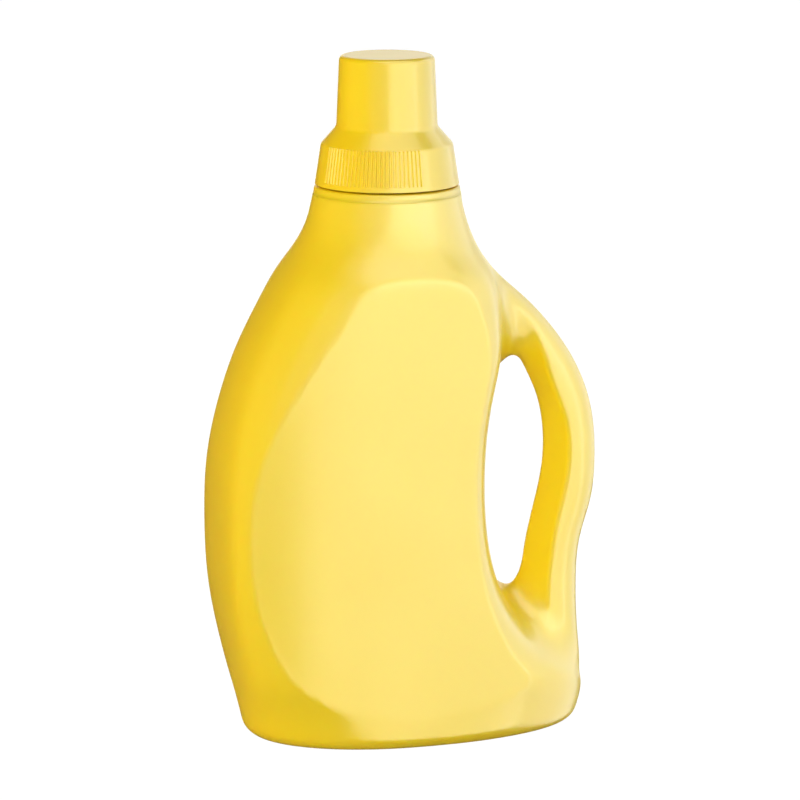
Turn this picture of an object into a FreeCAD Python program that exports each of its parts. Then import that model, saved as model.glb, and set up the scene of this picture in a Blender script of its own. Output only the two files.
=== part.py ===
import FreeCAD, Part
import math
import os
from collections import namedtuple

from FreeCAD import Vector

# Household cleaner bottle: a blow-moulded body with a through-handle, a drain-back pour spout
# pressed into its neck, a sealing ring and a ribbed dosing cap on a two-start thread.
# Millimetres, +Z up. Everything is drawn about the neck axis, and export moves it so that the
# origin is the bottom centre of the bottle's own box. The bottle is symmetric in Y.

# ---- Body ----
shoulder_height = 220.5     # foot to the land that the cap closes on
shoulder_radius = 28.8      # round land just under the cap
land_height = 3.0           # turned rim between the belly's skin and the land
land_draft = 0.3            # how much wider the rim is at its foot
belly_reach = 71.2          # neck axis to the far left of the belly
foot_reach = 80.3           # neck axis to the right end of the foot
waist_reach = 33.5          # neck axis to the flank beside the fingers
panel_depth = 42.0          # middle plane to the crown of the front or back panel
panel_cut = 2.0             # what the panel takes off the belly, which leaves its ridge
panel_radius = 220.0        # crown of the panels, seen from above
ridge_radius = 5.0          # rounding of the panel's ridge
foot_edge_radius = 8.0
push_up = 2.5               # height of the hollow under the foot
standing_rim = 7.0          # width of the ring that the bottle stands on
land_edge_radius = 1.2
wall = 1.2

# ---- Handle ----
handle_reach = 85.2         # neck axis to the outside of the grip
grip_width = 20.5           # grip, from the finger gap outwards, at the parting plane
grip_half_thickness = 14.0
grip_edge_radius = 11.0     # palm side of the grip
finger_rim_radius = 3.0     # edge between the grip's face and the finger pocket
parting_edge_radius = 1.5   # edge of the finger gap at the parting plane
gap_bottom = 57.4           # finger gap at the parting plane
gap_height = 91.2
handle_core = 12.0          # neck axis to where the handle ends, hidden inside the belly
pocket_overrun = 1.3        # how far the pocket's draft is carried, as a share of the grip's half

# ---- Neck ----
neck_radius = 20.4
neck_wall = 1.6
neck_height = 17.0          # above the shoulder land
neck_edge_radius = 0.5
thread_lead = 8.0
thread_starts = 2
thread_height = 1.2
thread_root_width = 2.1
thread_crest_width = 0.9
thread_turns = 0.95
thread_clearance = 0.3
thread_sink = 0.3           # how far a thread's foot runs into the wall that carries it
neck_thread_rise = 5.2      # shoulder land to the middle of the thread's start

# ---- Pour spout ----
spout_fit = 0.05            # radial fit of the plug in the neck
spout_wall = 1.2
flange_thickness = 1.2
plug_depth = 13.0           # flange's underside to the trough's underside
spout_radius = 11.5
spout_rise = 17.0           # flange's top to the high side of the lip
lip_slope_deg = 22.0
drain_slot_width = 5.0
drain_slot_height = 4.0

# ---- Seal ----
seal_thickness = 1.2
seal_clearance = 0.1        # between the seal's rim and the walls beside it

# ---- Cap ----
cap_gap = 0.8               # dark line between the skirt and the shoulder
skirt_height = 15.7
skirt_foot_radius = 28.5
skirt_head_radius = 26.1
flare_height = 7.0
cup_foot_radius = 20.0
cup_head_radius = 18.8
cup_height = 28.0           # flare's head to the top of the cap
cup_edge_radius = 2.2
flare_foot_radius = 3.0     # rounding between skirt and flare
flare_head_radius = 3.0     # rounding between flare and cup
cap_wall = 1.4
collar_wall = 1.2           # threaded collar inside the skirt
collar_rise = 2.5           # skirt's foot to the collar's foot

# ---- Cap ribs ----
rib_count = 26              # on each of the two grips
rib_pitch_deg = 3.5
rib_height = 0.5
rib_foot_width = 1.15
rib_crest_width = 0.55
rib_sink = 0.5
rib_foot_margin = 2.0       # plain band under the ribs
rib_head_overrun = 0.3      # how far the ribs reach above the skirt's head
grip_turn_deg = -119.5      # middle of the front grip, about +Z from +X

# ---- Derived places ----
belly_depth = panel_depth + panel_cut
gap_top = gap_bottom + gap_height
skin_top = shoulder_height - land_height
gap_reach = handle_reach - grip_width
bore_radius = neck_radius - neck_wall
neck_top = shoulder_height + neck_height
flange_top = neck_top + flange_thickness
seal_top = flange_top + seal_thickness
thread_pitch = thread_lead / thread_starts
collar_bore = neck_radius + thread_height + thread_clearance
skirt_foot = shoulder_height + cap_gap
skirt_head = skirt_foot + skirt_height
flare_head = skirt_head + flare_height
cap_top = flare_head + cup_height
origin_shift = Vector((belly_reach - handle_reach) / 2, 0, 0)

# A body station: level, reach left and right of the neck axis, half depth, and the squareness
# of the left and the right half of the section. A squareness of 2 is an ellipse.
# Levels run 0 at the foot, 1 and 2 at the finger gap's ends, 3 at the shoulder.
Station = namedtuple("Station", "level left right depth square_left square_right")

STATIONS = [
    Station(0.000, 0.815 * belly_reach, 0.958 * foot_reach, 0.928 * belly_depth, 2.00, 2.00),
    Station(0.142, 0.840 * belly_reach, 0.985 * foot_reach, 0.946 * belly_depth, 2.10, 2.05),
    Station(0.284, 0.865 * belly_reach, 0.996 * foot_reach, 0.964 * belly_depth, 2.35, 2.15),
    Station(0.426, 0.891 * belly_reach, 0.940 * foot_reach, 0.989 * belly_depth, 2.75, 2.40),
    Station(0.585, 0.919 * belly_reach, 0.778 * foot_reach, 1.000 * belly_depth, 3.10, 2.80),
    Station(0.798, 0.954 * belly_reach, 0.620 * foot_reach, 1.000 * belly_depth, 3.40, 3.40),
    Station(1.061, 0.988 * belly_reach, 1.190 * waist_reach, 1.000 * belly_depth, 3.70, 4.00),
    Station(1.310, 1.000 * belly_reach, 1.024 * waist_reach, 1.000 * belly_depth, 3.85, 4.40),
    Station(1.581, 0.991 * belly_reach, 1.000 * waist_reach, 1.000 * belly_depth, 3.50, 4.40),
    Station(1.852, 0.927 * belly_reach, 1.080 * waist_reach, 1.000 * belly_depth, 3.05, 4.40),
    Station(2.122, 0.824 * belly_reach, 1.212 * waist_reach, 1.000 * belly_depth, 2.70, 4.20),
    Station(2.354, 0.710 * belly_reach, 1.224 * waist_reach, 0.986 * belly_depth, 2.60, 3.60),
    Station(2.550, 0.600 * belly_reach, 1.370 * shoulder_radius, 0.955 * belly_depth, 2.50, 2.90),
    Station(2.702, 1.246 * shoulder_radius, 1.208 * shoulder_radius, 1.267 * shoulder_radius, 2.3, 2.3),
    Station(2.833, 1.108 * shoulder_radius, 1.094 * shoulder_radius, 1.122 * shoulder_radius, 2.1, 2.1),
    Station(2.935, 1.050 * shoulder_radius, 1.037 * shoulder_radius, 1.046 * shoulder_radius, 2.0, 2.0),
    Station(3.000, 1.018 * shoulder_radius, 1.018 * shoulder_radius, 1.018 * shoulder_radius, 2.0, 2.0),
]
SECTION_POINTS = 24
TOUCHING = 0.01             # places closer than this are the same place

# Form lines of the handle, each point as (share, level). The palm line's share is of the
# handle's reach. The other two run from the waist, 0, to the finger gap's outer edge, 1.
PALM_LINE = [
    (0.300, 2.847), (0.410, 2.695), (0.498, 2.547), (0.636, 2.387), (0.774, 2.207), (0.899, 1.983),
    (0.982, 1.766), (1.000, 1.560), (0.980, 1.364), (0.928, 1.191), (0.911, 0.993), (0.918, 0.674),
    (0.931, 0.390), (0.904, 0.142),
]
GAP_LINE = [
    (0.577, 2.000), (0.400, 1.952), (0.208, 1.852), (-0.139, 1.636), (-0.174, 1.364), (0.000, 1.129),
    (0.320, 1.034), (0.538, 1.000), (0.667, 1.044), (0.753, 1.158), (0.868, 1.332), (0.984, 1.527),
    (0.997, 1.657), (0.929, 1.809), (0.773, 1.935),
]
POCKET_LINE = [
    (0.400, 2.318), (0.000, 2.166), (-0.279, 1.907), (-0.418, 1.636), (-0.418, 1.310), (-0.244, 1.021),
    (0.304, 0.727), (0.868, 0.603), (0.923, 0.798), (0.955, 1.039), (1.048, 1.256), (1.179, 1.451),
    (1.227, 1.603), (1.157, 1.777), (0.897, 1.989),
]


def height_at(level):
    """Height of a level: 0 foot, 1 and 2 ends of the finger gap, 3 shoulder."""
    marks = [0.0, gap_bottom, gap_top, skin_top]
    low = min(int(level), 2)
    return marks[low] + (level - low) * (marks[low + 1] - marks[low])


def signed_power(value, exponent):
    """Power of a number's size, with its sign kept."""
    if abs(value) < 1e-9:
        return 0.0
    return math.copysign(abs(value) ** exponent, value)


def section_points(station, inset):
    """Points round the belly at one station, moved in by inset."""
    height = min(max(height_at(station.level), inset), skin_top - inset)
    points = []
    for step in range(SECTION_POINTS):
        angle = 2 * math.pi * step / SECTION_POINTS
        cosine = math.cos(angle)
        sine = math.sin(angle)
        if cosine >= 0:
            reach, square = station.right - inset, station.square_right
        else:
            reach, square = station.left - inset, station.square_left
        x = reach * signed_power(cosine, 2 / square)
        y = (station.depth - inset) * signed_power(sine, 2 / square)
        points.append(Vector(x, y, height))
    return points


def skinned_solid(rows):
    """Solid with a smooth skin through rows of points, each row a closed level section."""
    count = len(rows[0])
    around = [step / count for step in range(count + 1)]
    sections = []
    for row in rows:
        curve = Part.BSplineCurve()
        curve.interpolate(Points=row, PeriodicFlag=True, Parameters=around)
        sections.append(curve)

    climb = [0.0]
    for lower, upper in zip(rows, rows[1:]):
        steps = [end.distanceToPoint(start) for start, end in zip(lower, upper)]
        climb.append(climb[-1] + sum(steps) / count)
    climb = [length / climb[-1] for length in climb]
    columns = []
    for points in zip(*[curve.getPoles() for curve in sections]):
        curve = Part.BSplineCurve()
        curve.interpolate(Points=list(points), Parameters=climb)
        columns.append(curve)

    skin = Part.BSplineSurface()
    skin.buildFromPolesMultsKnots(
        [curve.getPoles() for curve in columns],
        sections[0].getMultiplicities(), columns[0].getMultiplicities(),
        sections[0].getKnots(), columns[0].getKnots(), True, False, 3, 3)
    side = skin.toShape()
    ends = [Part.Face(Part.Wire([edge])) for edge in side.Edges if edge.BoundBox.ZLength < TOUCHING]
    shell = Part.makeShell([side] + ends)
    shell.sewShape()
    return Part.makeSolid(shell)


def edges_where(shape, test):
    """Edges of a shape whose bounding box passes a test."""
    return [edge for edge in shape.Edges if test(edge.BoundBox)]


def revolved(corners):
    """Solid turned about the neck axis from (radius, height) corners."""
    points = [Vector(radius, 0, height) for radius, height in corners]
    face = Part.Face(Part.makePolygon(points + points[:1]))
    return face.revolve(Vector(0, 0, 0), Vector(0, 0, 1), 360)


def rounded(solid, radius, height, blend):
    """Blend the circular edge that a turned solid has at a radius and height."""
    def is_edge(box):
        level = box.ZLength < TOUCHING and abs(box.ZMin - height) < TOUCHING
        return level and abs(box.XMax - radius) < TOUCHING
    return solid.makeFillet(blend, edges_where(solid, is_edge))


def panel_slab(inset):
    """Space between the crowned front and back panels. Each panel's seam is down its middle."""
    offset = panel_radius - panel_depth
    height = skin_top + 2 * wall
    slab = None
    for side in (1, -1):
        crown = Part.makeCylinder(panel_radius - inset, height, Vector(0, 0, -wall))
        crown.rotate(Vector(0, 0, 0), Vector(0, 0, 1), -90 * side)
        crown.translate(Vector(0, side * offset, 0))
        slab = crown.common(slab) if slab else crown
    return slab


def on_ridge(edge):
    """Whether an edge of the back half lies on the panel's cylinder, apart from its seam."""
    middle = edge.valueAt((edge.FirstParameter + edge.LastParameter) / 2)
    reach = math.hypot(middle.x, middle.y + panel_radius - panel_depth)
    return abs(reach - panel_radius) < TOUCHING and edge.BoundBox.XLength > TOUCHING


def make_belly(inset):
    """Belly, shoulder and foot, moved in by inset, with both panels cut."""
    belly = skinned_solid([section_points(station, inset) for station in STATIONS])
    return belly.common(panel_slab(inset))


def blend_foot(belly, inset):
    """Round the edge round the foot."""
    foot = edges_where(belly, lambda box: box.ZMax < inset + TOUCHING and box.YMax > TOUCHING)
    return belly.makeFillet(foot_edge_radius - inset, foot)


def moved_in(points, distance, closed):
    """Points of a line in XZ, moved to the right of its direction, square to their neighbours."""
    if closed:
        befores = points[-1:] + points[:-1]
        afters = points[1:] + points[:1]
    else:
        befores = points[:1] + points[:-1]
        afters = points[1:] + points[-1:]
    moved = []
    for before, point, after in zip(befores, points, afters):
        along = (after - before).normalize()
        moved.append(point + Vector(along.z, 0, -along.x) * distance)
    return moved


def palm_points(inset):
    """Points of the outside of the grip at the parting plane, shoulder to foot."""
    points = [Vector(share * handle_reach, 0, height_at(level)) for share, level in PALM_LINE]
    return moved_in(points, inset, False)


def ring_points(line, inset):
    """Points of the finger gap's or pocket's outline, moved out of the gap by inset."""
    span = gap_reach - waist_reach
    points = [Vector(waist_reach + share * span, 0, height_at(level)) for share, level in line]
    return moved_in(points, inset, True)


def closed_wire(points):
    """Closed smooth curve through points."""
    curve = Part.BSplineCurve()
    curve.interpolate(points, PeriodicFlag=True)
    return Part.Wire([curve.toShape()])


def make_plate(inset):
    """Handle before its finger pocket: a plate in the parting plane with a rounded palm side."""
    half = grip_half_thickness - inset
    palm = palm_points(inset)
    curve = Part.BSplineCurve()
    curve.interpolate(palm)
    corners = [palm[-1], Vector(handle_core, 0, palm[-1].z), Vector(handle_core, 0, palm[0].z), palm[0]]
    sides = [Part.makeLine(start, end) for start, end in zip(corners, corners[1:])]
    face = Part.Face(Part.Wire([curve.toShape()] + sides))
    face.translate(Vector(0, -half, 0))
    plate = face.extrude(Vector(0, 2 * half, 0))
    palm_edges = edges_where(
        plate, lambda box: box.XMax > gap_reach and box.ZLength > gap_height and box.YLength < TOUCHING)
    return plate.makeFillet(grip_edge_radius - inset, palm_edges)


def make_pocket(inset):
    """Finger pocket: narrowest at the parting plane and drafted open to both faces."""
    narrow = ring_points(GAP_LINE, inset)
    wide = ring_points(POCKET_LINE, inset)
    depth = Vector(0, grip_half_thickness, 0)

    def half(side):
        mouth = [inner + (outer - inner + depth * side) * pocket_overrun
                 for inner, outer in zip(narrow, wide)]
        return Part.makeLoft([closed_wire(mouth), closed_wire(narrow)], True, True)

    return half(-1).fuse(half(1))


def make_handle():
    """Grip with both its roots, edges rounded."""
    handle = make_plate(0).cut(make_pocket(0))

    def is_ring(box, depth):
        flat = box.YLength < TOUCHING and abs(abs(box.YMax) - depth) < TOUCHING
        return flat and box.XMin > handle_core + wall and box.XMax < handle_reach - wall

    rim = edges_where(handle, lambda box: is_ring(box, grip_half_thickness))
    handle = handle.makeFillet(finger_rim_radius, rim)
    parting = edges_where(handle, lambda box: is_ring(box, 0))
    return handle.makeFillet(parting_edge_radius, parting)


def make_outside():
    """Belly with its ridges and foot rounded, as the back half and its mirror image, and handle."""
    back = Part.makeBox(4 * foot_reach, 2 * belly_depth, 2 * shoulder_height,
                        Vector(-2 * foot_reach, 0, -wall))
    half = make_belly(0).common(back)
    half = half.makeFillet(ridge_radius, [edge for edge in half.Edges if on_ridge(edge)])
    half = blend_foot(half, 0)
    return half.fuse(half.mirror(Vector(0, 0, 0), Vector(0, 1, 0))).fuse(make_handle())


def helix_ridge(radius, outwards, start_height, start_deg):
    """Thread ridge with a tapered section, on the outside or the inside of a wall."""
    side = 1 if outwards else -1
    foot = radius - side * thread_sink
    crest = radius + side * thread_height
    half_foot = thread_root_width / 2
    half_crest = thread_crest_width / 2
    corners = [(foot, -half_foot), (crest, -half_crest), (crest, half_crest), (foot, half_foot)]
    points = [Vector(x, 0, z) for x, z in corners]
    profile = Part.makePolygon(points + points[:1])
    helix = Part.makeHelix(thread_lead, thread_lead * thread_turns, radius)
    ridge = Part.Wire(helix.Edges).makePipeShell([profile], True, True)
    ridge.translate(Vector(0, 0, start_height))
    ridge.rotate(Vector(0, 0, 0), Vector(0, 0, 1), start_deg)
    return ridge


def thread_ridges(radius, outwards, start_height):
    """One ridge for each start of the thread."""
    step = 360 / thread_starts
    return [helix_ridge(radius, outwards, start_height, start * step) for start in range(thread_starts)]


def make_neck():
    """Land under the cap and the threaded neck that rises out of it."""
    foot_radius = shoulder_radius + land_draft
    neck = revolved([
        (0, skin_top - wall), (foot_radius, skin_top - wall), (foot_radius, skin_top),
        (shoulder_radius, shoulder_height), (neck_radius, shoulder_height), (neck_radius, neck_top),
        (0, neck_top),
    ])
    neck = rounded(neck, shoulder_radius, shoulder_height, land_edge_radius)
    neck = rounded(neck, neck_radius, neck_top, neck_edge_radius)
    return neck.multiFuse(thread_ridges(neck_radius, True, shoulder_height + neck_thread_rise))


def neck_hollow():
    """Bore of the neck and the hollow under the land."""
    land_hollow = shoulder_radius - 2 * wall
    return revolved([
        (0, skin_top - 2 * wall), (land_hollow, skin_top - 2 * wall),
        (land_hollow, shoulder_height - wall), (bore_radius, shoulder_height - wall),
        (bore_radius, neck_top + wall), (0, neck_top + wall),
    ])


def foot_hollow(grow):
    """Shallow hollow under the foot, inside the standing ring."""
    edge = foot_edge_radius + standing_rim - grow

    def ring(inset, height):
        points = section_points(STATIONS[0], inset)
        return closed_wire([Vector(point.x, point.y, height) for point in points])

    return Part.makeLoft([ring(edge, 0), ring(edge + 2 * push_up, push_up + grow)], True, True)


def make_bottle():
    """Blow-moulded body: belly, handle, neck and the hollow inside."""
    body = make_outside().cut(foot_hollow(0)).fuse(make_neck())
    inside = blend_foot(make_belly(wall), wall)
    inside = inside.fuse(make_plate(wall).cut(make_pocket(wall))).cut(foot_hollow(wall))
    return body.cut(inside.fuse(neck_hollow()))


def make_pour_spout():
    """Drain-back insert: flange, plug, trough and a spout with a slanted lip."""
    plug = bore_radius - spout_fit
    trough_foot = neck_top - plug_depth
    trough_head = trough_foot + spout_wall
    lip_top = flange_top + spout_rise
    tube_bore = spout_radius - spout_wall
    insert = revolved([
        (tube_bore, trough_foot), (plug, trough_foot), (plug, neck_top),
        (neck_radius, neck_top), (neck_radius, flange_top), (plug - spout_wall, flange_top),
        (plug - spout_wall, trough_head), (spout_radius, trough_head), (spout_radius, lip_top),
        (tube_bore, lip_top),
    ])
    size = 4 * spout_radius
    lip = Part.makeBox(size, size, size, Vector(-size / 2, -size / 2, 0))
    lip.translate(Vector(0, 0, lip_top))
    lip.rotate(Vector(spout_radius, 0, lip_top), Vector(0, 1, 0), -lip_slope_deg)
    slot = Part.makeBox(spout_radius, drain_slot_width, drain_slot_height,
                        Vector(-spout_radius - spout_wall, -drain_slot_width / 2, trough_head))
    return insert.cut(lip).cut(slot)


def make_seal():
    """Flat ring between the spout's flange and the ledge in the cap."""
    inner = cup_bore_at_ledge() + seal_clearance
    outer = neck_radius - seal_clearance
    return revolved([(inner, flange_top), (outer, flange_top), (outer, seal_top), (inner, seal_top)])


def cup_bore_at_ledge():
    """Radius inside the cup where it meets the ledge that the seal sits under."""
    return cup_foot_radius - cap_wall


def make_rib(angle_deg):
    """One grip rib, following the skirt's slope."""
    taper = (skirt_foot_radius - skirt_head_radius) / skirt_height
    half_foot = rib_foot_width / 2
    half_crest = rib_crest_width / 2

    def section(height):
        skin = skirt_foot_radius - taper * (height - skirt_foot)
        corners = [(skin - rib_sink, -half_foot), (skin, -half_foot), (skin + rib_height, -half_crest),
                   (skin + rib_height, half_crest), (skin, half_foot), (skin - rib_sink, half_foot)]
        points = [Vector(x, y, height) for x, y in corners]
        return Part.makePolygon(points + points[:1])

    rib = Part.makeLoft([section(skirt_foot + rib_foot_margin), section(skirt_head + rib_head_overrun)],
                        True, True)
    rib.rotate(Vector(0, 0, 0), Vector(0, 0, 1), angle_deg)
    return rib


def make_cap():
    """Dosing cap: cup, flare, ribbed skirt and the threaded collar inside it."""
    outside = revolved([
        (0, skirt_foot), (skirt_foot_radius, skirt_foot), (skirt_head_radius, skirt_head),
        (cup_foot_radius, flare_head), (cup_head_radius, cap_top), (0, cap_top),
    ])
    outside = rounded(outside, skirt_head_radius, skirt_head, flare_foot_radius)
    outside = rounded(outside, cup_foot_radius, flare_head, flare_head_radius)
    outside = rounded(outside, cup_head_radius, cap_top, cup_edge_radius)

    collar_skin = collar_bore + collar_wall
    below = skirt_foot - cap_wall
    cup = revolved([
        (0, below), (collar_bore, below), (collar_bore, seal_top),
        (cup_bore_at_ledge(), seal_top), (cup_head_radius - cap_wall, cap_top - cap_wall),
        (0, cap_top - cap_wall),
    ])
    cup = rounded(cup, cup_head_radius - cap_wall, cap_top - cap_wall, cup_edge_radius - cap_wall / 2)
    groove = revolved([
        (collar_skin, below), (skirt_foot_radius - cap_wall, below),
        (skirt_foot_radius - cap_wall, skirt_foot), (skirt_head_radius - cap_wall, skirt_head - cap_wall),
        (collar_skin, skirt_head - cap_wall),
    ])
    below_collar = Part.makeCylinder(collar_skin + collar_wall, collar_rise + cap_wall, Vector(0, 0, below))
    shell = outside.cut(cup.fuse(groove).fuse(below_collar))

    lift = shoulder_height + neck_thread_rise + thread_pitch / 2
    ridges = thread_ridges(collar_bore, False, lift)
    span = rib_pitch_deg * (rib_count - 1)
    angles = [grip_turn_deg - span / 2 + rib_pitch_deg * rib for rib in range(rib_count)]
    ribs = [make_rib(angle + side) for side in (0, 180) for angle in angles]
    return shell.multiFuse(ridges + ribs)


def export(name, shape):
    """Move a finished piece to the bottle's origin and write it."""
    moved = shape.copy()
    moved.translate(origin_shift)
    solids = moved.Solids
    print(name, "solids", len(solids), "valid", moved.isValid(), "volume", round(moved.Volume, 1))
    piece = solids[0] if len(solids) == 1 else Part.makeCompound(solids)
    piece.exportStep("parts/" + name + ".step")


os.makedirs("parts", exist_ok=True)
export("bottle", make_bottle())
export("pour_spout", make_pour_spout())
export("cap_seal", make_seal())
export("cap", make_cap())
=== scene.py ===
"""Looks of the cleaner bottle: the body's skin, the plastics, the studio, the lamps and the camera."""

import logging
import math
from dataclasses import dataclass, field
from enum import Enum
from typing import Any

import bmesh
import bpy
from mathutils import Matrix, Vector


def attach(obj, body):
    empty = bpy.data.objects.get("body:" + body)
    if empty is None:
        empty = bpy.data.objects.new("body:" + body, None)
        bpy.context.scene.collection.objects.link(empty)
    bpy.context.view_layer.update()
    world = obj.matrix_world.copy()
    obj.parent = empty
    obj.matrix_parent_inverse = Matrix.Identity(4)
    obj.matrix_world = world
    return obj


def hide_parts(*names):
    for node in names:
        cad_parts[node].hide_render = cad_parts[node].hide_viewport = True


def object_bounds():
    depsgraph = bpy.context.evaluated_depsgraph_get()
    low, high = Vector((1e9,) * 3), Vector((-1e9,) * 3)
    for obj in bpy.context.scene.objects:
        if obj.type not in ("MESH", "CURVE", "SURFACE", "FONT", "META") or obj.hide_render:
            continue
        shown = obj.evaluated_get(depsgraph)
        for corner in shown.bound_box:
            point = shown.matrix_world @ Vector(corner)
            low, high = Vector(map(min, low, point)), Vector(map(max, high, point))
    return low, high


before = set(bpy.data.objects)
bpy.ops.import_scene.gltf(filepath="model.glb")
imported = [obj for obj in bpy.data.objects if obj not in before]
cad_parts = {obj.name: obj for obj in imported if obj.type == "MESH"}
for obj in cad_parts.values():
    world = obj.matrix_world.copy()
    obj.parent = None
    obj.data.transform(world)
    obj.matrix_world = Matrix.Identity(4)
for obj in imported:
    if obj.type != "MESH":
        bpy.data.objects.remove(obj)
cad_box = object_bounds()

LOG = logging.getLogger("cleaner_bottle")
MM = 0.001


def linear(hex_colour: str) -> tuple[float, float, float, float]:
    """Turn an sRGB hex colour into linear light.

    Args:
        hex_colour: Six hex digits, with or without a leading hash.

    Returns:
        Linear red, green, blue and an alpha of one.
    """
    digits = hex_colour.lstrip("#")
    channels = [int(digits[start:start + 2], 16) / 255 for start in (0, 2, 4)]
    red, green, blue = [
        value / 12.92 if value <= 0.04045 else ((value + 0.055) / 1.055) ** 2.4 for value in channels
    ]
    return red, green, blue, 1.0


def add_node(
    tree: bpy.types.NodeTree,
    kind: str,
    settings: dict[str, Any] | None = None,
    inputs: dict[str | int, Any] | None = None,
) -> bpy.types.Node:
    """Add a node with its settings, and its inputs set or linked.

    Args:
        tree: Node tree that gets the node.
        kind: Blender's name of the node's type.
        settings: Properties of the node.
        inputs: Values of its input sockets by name or number. An output socket is linked.

    Returns:
        The new node.
    """
    node = tree.nodes.new(kind)
    for name, value in (settings or {}).items():
        setattr(node, name, value)
    for key, value in (inputs or {}).items():
        if isinstance(value, bpy.types.NodeSocket):
            tree.links.new(value, node.inputs[key])
        else:
            node.inputs[key].default_value = value
    return node


def new_tree(name: str) -> tuple[bpy.types.Material, bpy.types.NodeTree]:
    """Make a material with an empty node tree.

    Args:
        name: Name of the material.

    Returns:
        The material and its tree.
    """
    material = bpy.data.materials.new(name)
    material.use_nodes = True
    material.node_tree.nodes.clear()
    return material, material.node_tree


def stand_off(
    holder: bpy.types.Object, target: Vector, azimuth: float, elevation: float, distance: float
) -> None:
    """Put a lamp or a camera at its bearing from a target, looking at it.

    Args:
        holder: The lamp's or the camera's object.
        target: Point that it looks at, in metres.
        azimuth: Degrees from the front, towards the right.
        elevation: Degrees above the target.
        distance: Metres from the target.
    """
    turn, rise = math.radians(azimuth), math.radians(elevation)
    way = Vector((math.sin(turn) * math.cos(rise), -math.cos(turn) * math.cos(rise), math.sin(rise)))
    holder.location = target + way * distance
    holder.rotation_euler = (-way).to_track_quat("-Z", "Y").to_euler()
    bpy.context.scene.collection.objects.link(holder)


class Process(Enum):
    """How a plastic's surface was made."""

    BLOWN = "blown against a sandblasted mould"
    INJECTED = "injected against a polished mould"
    FOAMED = "cut from foamed sheet"


@dataclass(frozen=True)
class Plastic:
    """A moulded plastic: its pigment, its gloss and the grain that its process leaves.

    Lengths are in millimetres.
    """

    name: str
    process: Process
    colour: str
    deep_colour: str
    roughness: float
    roughness_spread: float
    ior: float = 1.5
    specular: float = 0.5
    scatter: float = 0.0
    scatter_reach: tuple[float, float, float] = (1.0, 0.5, 0.2)
    scatter_scale: float = 2.0
    coat: float = 0.0
    coat_roughness: float = 0.1
    drift_width: float = 38.0
    drift_low: float = 0.3
    drift_high: float = 0.7
    peel_width: float = 2.0
    peel_height: float = 0.02
    grain_width: float = 0.35
    grain_height: float = 0.004
    parting_width: float = 0.0
    parting_height: float = 0.0

    def material(self) -> bpy.types.Material:
        """Build the node material.

        Returns:
            A Principled material whose grain sizes come from the fields.
        """
        material, tree = new_tree(self.name)
        place = add_node(tree, "ShaderNodeTexCoord").outputs["Object"]

        # Pigment isn't quite even: slow drifts of a deeper tone, some centimetres wide.
        drift = add_node(tree, "ShaderNodeTexNoise", None, {
            "Vector": place, "Scale": 1 / (self.drift_width * MM), "Detail": 2.0, "Roughness": 0.4,
        })
        tone = add_node(tree, "ShaderNodeMix", {"data_type": "RGBA"}, {
            "Factor": drift.outputs["Fac"], "A": linear(self.colour), "B": linear(self.deep_colour),
        })
        tone_colour = next(socket for socket in tone.outputs if socket.type == "RGBA")
        rough = add_node(tree, "ShaderNodeMapRange", None, {
            "Value": drift.outputs["Fac"],
            "From Min": self.drift_low, "From Max": self.drift_high,
            "To Min": self.roughness - self.roughness_spread,
            "To Max": self.roughness + self.roughness_spread,
        })

        # Orange peel from the cooling melt, and the mould's own fine grain on top of it.
        peel = add_node(tree, "ShaderNodeTexNoise", None, {
            "Vector": place, "Scale": 1 / (self.peel_width * MM), "Detail": 1.0,
        })
        surface = add_node(tree, "ShaderNodeBump", None, {
            "Height": peel.outputs["Fac"], "Distance": self.peel_height * MM, "Strength": 1.0,
        })
        grain = add_node(tree, "ShaderNodeTexNoise", None, {
            "Vector": place, "Scale": 1 / (self.grain_width * MM), "Detail": 2.0,
        })
        surface = add_node(tree, "ShaderNodeBump", None, {
            "Height": grain.outputs["Fac"], "Distance": self.grain_height * MM, "Strength": 1.0,
            "Normal": surface.outputs["Normal"],
        })
        if self.parting_width:
            surface = self.parting_line(tree, place, surface.outputs["Normal"])

        shader = add_node(tree, "ShaderNodeBsdfPrincipled", None, {
            "Base Color": tone_colour,
            "Roughness": rough.outputs["Result"],
            "IOR": self.ior,
            "Specular IOR Level": self.specular,
            "Subsurface Weight": self.scatter,
            "Subsurface Radius": self.scatter_reach,
            "Subsurface Scale": self.scatter_scale * MM,
            "Coat Weight": self.coat,
            "Coat Roughness": self.coat_roughness,
            "Normal": surface.outputs["Normal"],
        })
        add_node(tree, "ShaderNodeOutputMaterial", None, {"Surface": shader.outputs["BSDF"]})
        return material

    def parting_line(
        self, tree: bpy.types.NodeTree, place: bpy.types.NodeSocket, normal: bpy.types.NodeSocket
    ) -> bpy.types.Node:
        """Raise the witness line that the two mould halves leave at the middle plane.

        Args:
            tree: The material's node tree.
            place: Object coordinates.
            normal: Normal that the line is added to.

        Returns:
            The bump node with the line in it.
        """
        depth = add_node(tree, "ShaderNodeSeparateXYZ", None, {"Vector": place}).outputs["Y"]
        off_plane = add_node(tree, "ShaderNodeMath", {"operation": "ABSOLUTE"}, {0: depth})
        line = add_node(tree, "ShaderNodeMapRange", {"interpolation_type": "SMOOTHSTEP"}, {
            "Value": off_plane.outputs["Value"],
            "From Min": 0.0, "From Max": self.parting_width * MM, "To Min": 1.0, "To Max": 0.0,
        })
        return add_node(tree, "ShaderNodeBump", None, {
            "Height": line.outputs["Result"], "Distance": self.parting_height * MM, "Strength": 1.0,
            "Normal": normal,
        })


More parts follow.
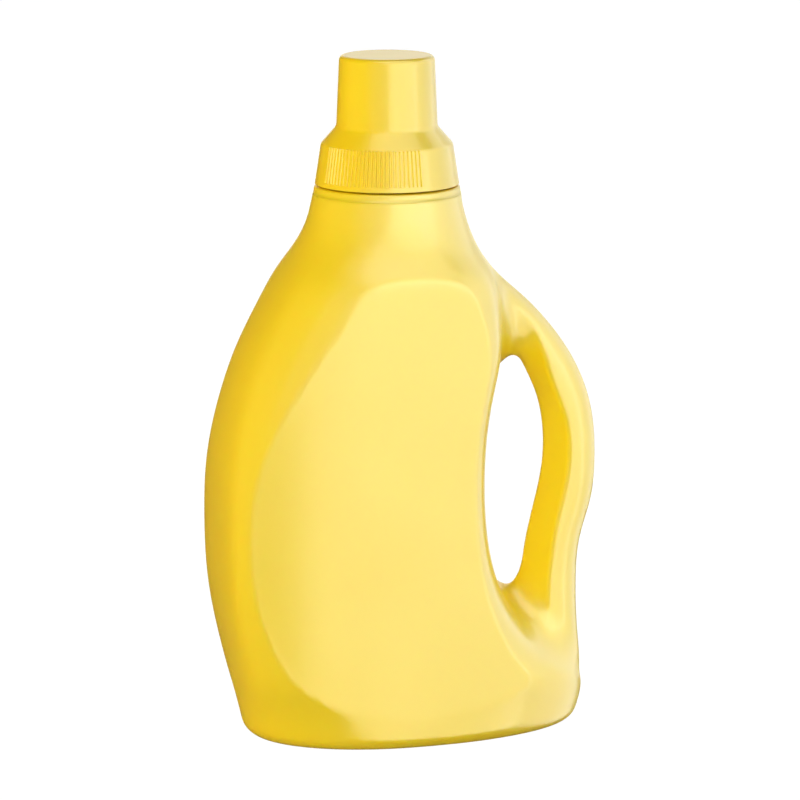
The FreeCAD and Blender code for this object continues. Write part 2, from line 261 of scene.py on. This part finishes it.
# High-density polyethylene, pigmented through. The blown surface is satin, so light spreads in it.
BLOWN_HDPE = Plastic(
    "blown_hdpe", Process.BLOWN, "#f7dc03", "#f4d602", 0.38, 0.02, ior=1.54, specular=1.0,
    scatter=0.25, scatter_reach=(1.0, 0.45, 0.06), scatter_scale=2.5, coat=0.25, coat_roughness=0.16,
    peel_width=6.0, peel_height=0.02, grain_width=0.7, grain_height=0.004,
    parting_width=0.35, parting_height=0.08,
)
# Polypropylene, injected: the same pigment, with a tighter gloss.
INJECTED_PP = Plastic(
    "injected_pp", Process.INJECTED, "#f7da03", "#f4d402", 0.34, 0.02, ior=1.49, specular=0.8,
    scatter=0.2, scatter_reach=(1.0, 0.45, 0.06), scatter_scale=1.8, coat=0.3, coat_roughness=0.1,
    peel_width=5.0, peel_height=0.012, grain_width=0.6, grain_height=0.002,
)
# Unpigmented polypropylene: milky, because light goes some way into it.
NATURAL_PP = Plastic(
    "natural_pp", Process.INJECTED, "#ecebe4", "#e4e3da", 0.32, 0.03, ior=1.49,
    scatter=0.6, scatter_reach=(1.0, 0.95, 0.85), scatter_scale=3.0, coat=0.2, coat_roughness=0.15,
    peel_width=4.0, peel_height=0.01, grain_width=0.5, grain_height=0.002,
)
# Foamed polyethylene ring: matte, with open cells at its skin.
FOAMED_PE = Plastic(
    "foamed_pe", Process.FOAMED, "#e9e7df", "#dcdad0", 0.75, 0.05, ior=1.5,
    scatter=0.3, scatter_reach=(1.0, 1.0, 0.9), scatter_scale=1.0,
    peel_width=1.2, peel_height=0.05, grain_width=0.3, grain_height=0.03,
)


def dress(node: str, finish: Plastic) -> None:
    """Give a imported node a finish.

    Args:
        node: Name of the node.
        finish: Plastic that it is made of.
    """
    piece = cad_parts[node]
    material = bpy.data.materials.get(finish.name) or finish.material()
    if not piece.material_slots:
        piece.data.materials.append(material)
    for slot in piece.material_slots:
        slot.material = material
    LOG.info("%s: %s, %s", node, finish.name, finish.process.value)


@dataclass(frozen=True)
class Root:
    """A place where the handle grows out of the belly, and where the parison leaves a soft web.

    Lengths are in millimetres, about the model's own origin.
    """

    reach: float
    level: float
    half_reach: float
    half_level: float
    strength: float = 1.0
    steepness: float = 2.5

    def weight(self, point: Vector) -> float:
        """Give the web's strength in its middle, and 0 outside it.

        Args:
            point: Place in metres.

        Returns:
            A share that falls off smoothly.
        """
        across = (point.x / MM - self.reach) / self.half_reach
        upward = (point.z / MM - self.level) / self.half_level
        left = max(0.0, 1.0 - across ** 2 - upward ** 2)
        return self.strength * min(1.0, self.steepness * left)


@dataclass
class Container:
    """Blown body and the pouring insert pressed into its neck.

    The body is shown by a skin: its neck as packed, and its belly and handle meshed evenly, with the
    soft webs and low beads of a blown wall. Under the cut level only the outside is there, so the
    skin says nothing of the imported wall. Lengths are in millimetres.
    """

    body: str = "bottle"
    insert: str = "pour_spout"
    cut_level: float = 217.2
    cut_overlap: float = 1.2
    merge_reach: float = 0.001
    plane_reach: float = 0.0001
    knife_deg: float = 100.0
    cell: float = 1.25
    web_rounds: int = 360
    web_step: float = 0.9
    neck_place: float = -7.0
    panel_depth: float = 42.0
    panel_radius: float = 220.0
    bead_reach: float = 5.0
    bead_height: float = 0.5
    bead_facing: float = 0.9
    bead_spread: float = 0.05
    bead_least: float = 0.02
    bead_rounds: int = 3
    bead_step: float = 0.5
    roots: tuple[Root, ...] = (
        Root(42.0, 166.0, 24.0, 34.0),
        Root(62.0, 33.0, 26.0, 21.0),
        Root(44.0, 60.0, 20.0, 22.0, strength=0.3),
    )

    def build(self) -> None:
        """Make the skin of the body, and dress it and the insert."""
        skin = self.make_skin()
        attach(skin, "bottle")
        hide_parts(self.body)
        skin.data.materials.clear()
        skin.data.materials.append(BLOWN_HDPE.material())
        LOG.info("%s: %d faces", skin.name, len(skin.data.polygons))
        dress(self.insert, NATURAL_PP)

    def make_skin(self) -> bpy.types.Object:
        """Join the blended belly and handle to the neck.

        Returns:
            The body's skin as one object.
        """
        low = self.shell(self.cut_level + self.cut_overlap, keep_low=True)
        low = self.beaded(self.blended(self.evened(low)))
        whole = self.shell(self.cut_level, keep_low=False)
        low_mesh = bpy.data.meshes.new("low_part")
        low.to_mesh(low_mesh)
        low.free()
        whole.from_mesh(low_mesh)
        bpy.data.meshes.remove(low_mesh)
        mesh = bpy.data.meshes.new("bottle_skin")
        for face in whole.faces:
            face.smooth = True
        whole.to_mesh(mesh)
        whole.free()
        skin = bpy.data.objects.new("bottle_skin", mesh)
        bpy.context.scene.collection.objects.link(skin)
        return skin

    def shell(self, level: float, keep_low: bool) -> bmesh.types.BMesh:
        """Cut a merged copy of the body at a level.

        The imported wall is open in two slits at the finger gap's parting edge, where its inside and
        outside meet in knife edges. Split there, the outside comes free, and its holes are closed.

        Args:
            level: Height of the cut.
            keep_low: Whether the outer skin under the cut is kept, and otherwise all above it.

        Returns:
            The closed part.
        """
        part = bmesh.new()
        part.from_mesh(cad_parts[self.body].data)
        bmesh.ops.remove_doubles(part, verts=part.verts, dist=self.merge_reach * MM)
        self.cut(part, level, keep_low)
        if keep_low:
            knife = math.radians(self.knife_deg)
            knives = [edge for edge in part.edges if edge.calc_face_angle(0.0) > knife]
            bmesh.ops.split_edges(part, edges=knives)
            outermost = min(part.verts, key=lambda vert: vert.co.x)
            inside = set(part.verts) - self.linked(outermost)
            bmesh.ops.delete(part, geom=list(inside), context="VERTS")
            made = bmesh.ops.holes_fill(part, edges=self.open_edges(part))
            bmesh.ops.triangulate(part, faces=made["faces"])
        else:
            bmesh.ops.triangle_fill(part, edges=self.open_edges(part), use_beauty=True)
        bmesh.ops.recalc_face_normals(part, faces=part.faces)
        return part

    def cut(self, part: bmesh.types.BMesh, level: float, keep_low: bool) -> None:
        """Cut a part at a level and drop one side."""
        bmesh.ops.bisect_plane(
            part, geom=part.verts[:] + part.edges[:] + part.faces[:], dist=self.plane_reach * MM,
            plane_co=(0, 0, level * MM), plane_no=(0, 0, 1), clear_outer=keep_low, clear_inner=not keep_low,
        )

    @staticmethod
    def open_edges(part: bmesh.types.BMesh) -> list[bmesh.types.BMEdge]:
        """List the edges that only one face has."""
        return [edge for edge in part.edges if edge.is_boundary]

    @staticmethod
    def relax(part: bmesh.types.BMesh, points: list[bmesh.types.BMVert], step: float) -> None:
        """Move points a share of the way to the middle of their neighbours."""
        bmesh.ops.smooth_vert(
            part, verts=points, factor=step, use_axis_x=True, use_axis_y=True, use_axis_z=True
        )

    @staticmethod
    def linked(start: bmesh.types.BMVert) -> set[bmesh.types.BMVert]:
        """Gather all the points that edges join to one.

        Args:
            start: The point to start from.

        Returns:
            That point and all that are joined to it.
        """
        found, waiting = {start}, [start]
        while waiting:
            point = waiting.pop()
            for edge in point.link_edges:
                other = edge.other_vert(point)
                if other not in found:
                    found.add(other)
                    waiting.append(other)
        return found

    def evened(self, part: bmesh.types.BMesh) -> bmesh.types.BMesh:
        """Give a part an even mesh that lies on the body.

        Args:
            part: Closed outer skin, which is used up.

        Returns:
            The same skin in cells of one size, closed at the cut level.
        """
        mesh = bpy.data.meshes.new("even_part")
        part.to_mesh(mesh)
        part.free()
        holder = bpy.data.objects.new("even_part", mesh)
        bpy.context.scene.collection.objects.link(holder)
        remesh = holder.modifiers.new("even", "REMESH")
        remesh.mode, remesh.voxel_size = "VOXEL", self.cell * MM
        wrap = holder.modifiers.new("wrap", "SHRINKWRAP")
        wrap.target, wrap.wrap_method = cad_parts[self.body], "NEAREST_SURFACEPOINT"
        finished = holder.evaluated_get(bpy.context.evaluated_depsgraph_get())
        result = bpy.data.meshes.new_from_object(finished)
        bpy.data.objects.remove(holder)
        bpy.data.meshes.remove(mesh)
        even = bmesh.new()
        even.from_mesh(result)
        bpy.data.meshes.remove(result)
        self.cut(even, self.cut_level, keep_low=True)
        bmesh.ops.holes_fill(even, edges=self.open_edges(even))
        return even

    def blended(self, part: bmesh.types.BMesh) -> bmesh.types.BMesh:
        """Fill the hollows at the handle's roots, as the stretched wall bridges them.

        Args:
            part: Evenly meshed skin.

        Returns:
            The same skin, with points that only ever moved outwards.
        """
        shares = {vert: max(root.weight(vert.co) for root in self.roots) for vert in part.verts}
        web = [vert for vert in part.verts if shares[vert] > 0]
        for _ in range(self.web_rounds):
            part.normal_update()
            before = [(vert, vert.co.copy(), vert.normal.copy()) for vert in web]
            self.relax(part, web, self.web_step)
            for vert, place, normal in before:
                step = vert.co - place
                step -= normal * min(0.0, step.dot(normal))
                vert.co = place + step * shares[vert]
        return part

    def beaded(self, part: bmesh.types.BMesh) -> bmesh.types.BMesh:
        """Raise the low bead that frames each panel, where the surface turns away from its crown.

        Args:
            part: Evenly meshed skin.

        Returns:
            The same skin, no deeper than the panels' crowns.
        """
        part.normal_update()
        frames = []
        for vert in part.verts:
            across = vert.co.x / MM - self.neck_place
            fall = self.panel_radius - math.sqrt(self.panel_radius ** 2 - across ** 2)
            sunk = self.panel_depth - fall - abs(vert.co.y) / MM
            off = (abs(vert.normal.y) - self.bead_facing) / self.bead_spread
            share = math.exp(-off ** 2) * max(0.0, 1.0 - sunk / self.bead_reach)
            if share > self.bead_least:
                vert.co += vert.normal * self.bead_height * MM * share
                frames.append(vert)
        for _ in range(self.bead_rounds):
            self.relax(part, frames, self.bead_step)
        limit = self.panel_depth * MM
        for vert in frames:
            vert.co.y = max(-limit, min(limit, vert.co.y))
        return part


@dataclass
class Closure:
    """Dosing cap and the ring that seals it."""

    cap: str = "cap"
    seal: str = "cap_seal"

    def build(self) -> None:
        """Dress the cap and its seal."""
        dress(self.cap, INJECTED_PP)
        dress(self.seal, FOAMED_PE)


@dataclass(frozen=True)
class SoftBox:
    """A rectangular lamp that looks at the bottle.

    Angles are in degrees and lengths in metres. Azimuth 0 is in front, and 90 is on the right.
    """

    name: str
    azimuth: float
    elevation: float
    distance: float
    width: float
    height: float
    radiance: float
    colour: str = "#ffffff"
    lights_skin: bool = True
    shows_in_gloss: bool = True

    def build(self, target: Vector) -> None:
        """Place the lamp and turn it to the target.

        Args:
            target: Point that the lamp looks at.
        """
        lamp = bpy.data.lights.new(self.name, "AREA")
        lamp.shape = "RECTANGLE"
        lamp.size, lamp.size_y = self.width, self.height
        lamp.energy = self.radiance * math.pi * self.width * self.height
        lamp.color = linear(self.colour)[:3]
        holder = bpy.data.objects.new(self.name, lamp)
        holder.visible_camera = False
        holder.visible_diffuse = self.lights_skin
        holder.visible_glossy = self.shows_in_gloss
        stand_off(holder, target, self.azimuth, self.elevation, self.distance)
        LOG.info("%s: radiance %.1f", self.name, self.radiance)


@dataclass
class Studio:
    """Pale floor, soft lamps and the camera.

    Lengths are in metres, apart from the lens and its sensor, and angles are in degrees.
    """

    low: Vector
    high: Vector
    floor_reach: float = 6.0
    floor_colour: str = "#e6e6e4"
    floor_white_share: float = 0.93
    floor_white: float = 1.08
    room_light: float = 0.06
    room_white: float = 1.0
    azimuth: float = -15.0
    elevation: float = 11.0
    distance: float = 1.9
    lens: float = 214.94
    sensor: float = 36.0
    aim_offset: Vector = field(default_factory=lambda: Vector((-2.1, -1.7, -2.0)) * MM)
    lamps: tuple[SoftBox, ...] = (
        SoftBox("front_fill", -30, 14, 1.6, 1.6, 1.6, 2.65, shows_in_gloss=False),
        SoftBox("warm_fill", -98, 6, 1.3, 1.3, 1.5, 2.35, colour="#ffd88c", shows_in_gloss=False),
        SoftBox("right_fill", 72, 8, 1.5, 1.2, 1.5, 1.35, shows_in_gloss=False),
        SoftBox("gloss_front", 24, -4, 1.1, 1.5, 2.4, 3.4, lights_skin=False),
        SoftBox("gloss_side", 88, -2, 1.1, 1.6, 2.4, 2.5, lights_skin=False),
        SoftBox("gloss_top", 20, 70, 1.1, 1.2, 0.9, 2.2, lights_skin=False),
        SoftBox("top_fill", -10, 80, 1.3, 1.0, 1.0, 0.6, shows_in_gloss=False),
        SoftBox("back_fill", 160, 14, 1.6, 1.8, 1.6, 2.9, shows_in_gloss=False),
        SoftBox("gloss_back", 151, 12, 1.6, 1.7, 1.6, 1.1, lights_skin=False),
    )

    def build(self) -> None:
        """Make the floor, the world, the lamps and the camera."""
        self.make_floor()
        self.make_world()
        middle = (self.low + self.high) / 2
        for lamp in self.lamps:
            lamp.build(middle)
        self.make_camera(middle + self.aim_offset)
        bpy.context.scene.view_settings.view_transform = "Standard"

    def make_floor(self) -> None:
        """Lay a pale floor that shows near white to the eye and still takes the shadow."""
        mesh = bpy.data.meshes.new("floor")
        shape = bmesh.new()
        bmesh.ops.create_grid(shape, x_segments=1, y_segments=1, size=self.floor_reach,
                              matrix=Matrix.Translation((0, 0, self.low.z)))
        shape.to_mesh(mesh)
        shape.free()
        floor = bpy.data.objects.new("floor", mesh)
        floor.visible_glossy = False
        bpy.context.scene.collection.objects.link(floor)
        material, tree = new_tree("matt_floor")
        path = add_node(tree, "ShaderNodeLightPath")
        share = add_node(tree, "ShaderNodeMath", {"operation": "MULTIPLY"},
                         {0: path.outputs["Is Camera Ray"], 1: self.floor_white_share})
        matt = add_node(tree, "ShaderNodeBsdfDiffuse", None, {"Color": linear(self.floor_colour)})
        white = add_node(tree, "ShaderNodeEmission", None,
                         {"Color": (1, 1, 1, 1), "Strength": self.floor_white})
        mixed = add_node(tree, "ShaderNodeMixShader", None,
                         {0: share.outputs["Value"], 1: matt.outputs["BSDF"], 2: white.outputs["Emission"]})
        add_node(tree, "ShaderNodeOutputMaterial", None, {"Surface": mixed.outputs["Shader"]})
        mesh.materials.append(material)

    def make_world(self) -> None:
        """Surround the scene with an even pale light that shows white to the eye."""
        world = bpy.data.worlds.new("pale_room")
        bpy.context.scene.world = world
        world.use_nodes = True
        tree = world.node_tree
        tree.nodes.clear()
        path = add_node(tree, "ShaderNodeLightPath")
        strength = add_node(tree, "ShaderNodeMapRange", None, {
            "Value": path.outputs["Is Camera Ray"], "To Min": self.room_light, "To Max": self.room_white,
        })
        back = add_node(tree, "ShaderNodeBackground", None,
                        {"Color": (1, 1, 1, 1), "Strength": strength.outputs["Result"]})
        add_node(tree, "ShaderNodeOutputWorld", None, {"Surface": back.outputs["Background"]})

    def make_camera(self, target: Vector) -> None:
        """Set the camera at its angle, looking at the target.

        Args:
            target: Point in the middle of the picture.
        """
        camera = bpy.data.cameras.new("camera")
        camera.lens = self.lens
        camera.sensor_width = self.sensor
        holder = bpy.data.objects.new("camera", camera)
        stand_off(holder, target, self.azimuth, self.elevation, self.distance)
        bpy.context.scene.camera = holder


def main() -> None:
    """Dress the pieces and set up the studio."""
    logging.basicConfig(level=logging.INFO, format="%(name)s: %(message)s")
    Container().build()
    Closure().build()
    Studio(*(Vector(corner) for corner in cad_box)).build()


if __name__ == "__main__":
    main()
